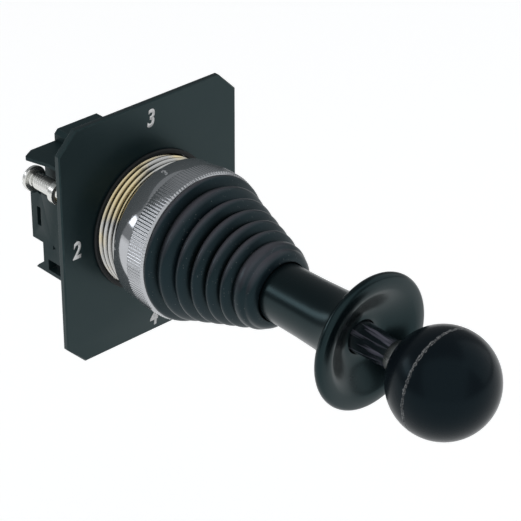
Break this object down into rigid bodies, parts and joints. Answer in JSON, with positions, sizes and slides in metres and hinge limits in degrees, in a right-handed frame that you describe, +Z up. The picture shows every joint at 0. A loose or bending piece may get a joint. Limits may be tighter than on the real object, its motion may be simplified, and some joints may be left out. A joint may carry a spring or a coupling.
{
  "type": "industrial joystick",
  "caption": "Panel-mounted four-way joystick: ball knob, pull ring on the lever, rubber bellows, chromed threaded collar with ring nut, legend plate and rear contact modules.",
  "frame": {"origin": "on the lever axis, at the panel seating face of the flange behind the legend plate", "axes": "-Y along the lever towards the knob, +Y behind the panel, +Z up towards position 3, +X towards position 1"},
  "size_m": [0.064, 0.162, 0.074],
  "materials": {
    "black_plate": "black anodised, satin",
    "seal_rubber": "matte",
    "chromed_brass": "bright chrome plate",
    "zinc_steel": "zinc plated",
    "bright_steel": "turned bright",
    "nickel_steel": "nickel plated",
    "spring_steel": "drawn wire",
    "bellows_rubber": "matte moulded rubber",
    "handle_plastic": "black, polished",
    "stem_black": "black, gloss",
    "knob_plastic": "black, polished",
    "bush_brass": "turned",
    "contact_brass": "stamped",
    "housing_plastic": "black, moulded",
    "module_plastic": "dark grey, moulded",
    "plunger_plastic": "white, moulded"
  },
  "bodies": {
    "base": {"legend_plate": "black_plate", "sealing_ring": "seal_rubber", "threaded_collar": "chromed_brass", "ring_nut": "chromed_brass", "gate_plate": "zinc_steel", "gate_screws": "zinc_steel", "bellows": "bellows_rubber", "operator_housing": "housing_plastic", "flange_screws": "zinc_steel", "module_screws": "nickel_steel", "left_contact_module": "module_plastic", "right_contact_module": "module_plastic", "middle_contact_module": "module_plastic", "fixed_contacts": "contact_brass", "terminal_screws": "nickel_steel", "terminal_clamps": "nickel_steel", "small_terminal_screws": "nickel_steel", "plunger_spring_left": "spring_steel", "plunger_spring_right": "spring_steel", "plunger_spring_top": "spring_steel", "plunger_spring_bottom": "spring_steel"},
    "gimbal": {"gimbal_ring": "zinc_steel", "gimbal_pins": "zinc_steel"},
    "lever": {"lever_hub": "zinc_steel", "hub_pins": "zinc_steel", "lever_rod": "bright_steel", "actuator_plate": "zinc_steel", "tail_nut": "zinc_steel", "pull_spring": "spring_steel", "spring_stop": "bright_steel", "knob_stem": "stem_black", "stem_collar": "bright_steel", "knob_rear": "knob_plastic", "knob_insert": "bush_brass", "knob_front": "knob_plastic"},
    "pull_ring": {"pull_sleeve": "handle_plastic", "sleeve_bush": "bush_brass"},
    "left_plunger": {"plunger_left": "plunger_plastic", "contact_bridge_left": "contact_brass"},
    "right_plunger": {"plunger_right": "plunger_plastic", "contact_bridge_right": "contact_brass"},
    "top_plunger": {"plunger_top": "plunger_plastic", "contact_bridge_top": "contact_brass"},
    "bottom_plunger": {"plunger_bottom": "plunger_plastic", "contact_bridge_bottom": "contact_brass"}
  },
  "joints": [
    {"name": "tilt_up_down", "type": "hinge", "parent": "base", "child": "gimbal", "pos_m": [0, -0.002, 0], "axis": [1, 0, 0], "range_deg": [-15, 15], "stiffness_Nm_per_rad": 4, "deforming": ["bellows"]},
    {"name": "tilt_left_right", "type": "hinge", "parent": "gimbal", "child": "lever", "pos_m": [0, -0.002, 0], "axis": [0, 0, 1], "range_deg": [-15, 15], "stiffness_Nm_per_rad": 4, "deforming": ["bellows"]},
    {"name": "pull_ring_slide", "type": "slide", "parent": "lever", "child": "pull_ring", "axis": [0, -1, 0], "range_m": [0, 0.005], "stiffness_N_per_m": 1200, "springref_m": -0.006, "deforming": ["pull_spring", "bellows"]},
    {"name": "left_plunger_slide", "type": "slide", "parent": "base", "child": "left_plunger", "axis": [0, 1, 0], "range_m": [-0.0033, 0.0033], "stiffness_N_per_m": 150, "springref_m": -0.004, "deforming": ["plunger_spring_left"]},
    {"name": "right_plunger_slide", "type": "slide", "parent": "base", "child": "right_plunger", "axis": [0, 1, 0], "range_m": [-0.0033, 0.0033], "stiffness_N_per_m": 150, "springref_m": -0.004, "deforming": ["plunger_spring_right"]},
    {"name": "top_plunger_slide", "type": "slide", "parent": "base", "child": "top_plunger", "axis": [0, 1, 0], "range_m": [-0.0033, 0.0033], "stiffness_N_per_m": 150, "springref_m": -0.004, "deforming": ["plunger_spring_top"]},
    {"name": "bottom_plunger_slide", "type": "slide", "parent": "base", "child": "bottom_plunger", "axis": [0, 1, 0], "range_m": [-0.0033, 0.0033], "stiffness_N_per_m": 150, "springref_m": -0.004, "deforming": ["plunger_spring_bottom"]}
  ],
  "couplings": [
    {"joint": "left_plunger_slide", "follows": "tilt_left_right", "m_per_rad": -0.0124},
    {"joint": "right_plunger_slide", "follows": "tilt_left_right", "m_per_rad": 0.0124},
    {"joint": "top_plunger_slide", "follows": "tilt_up_down", "m_per_rad": -0.0124},
    {"joint": "bottom_plunger_slide", "follows": "tilt_up_down", "m_per_rad": 0.0124}
  ]
}
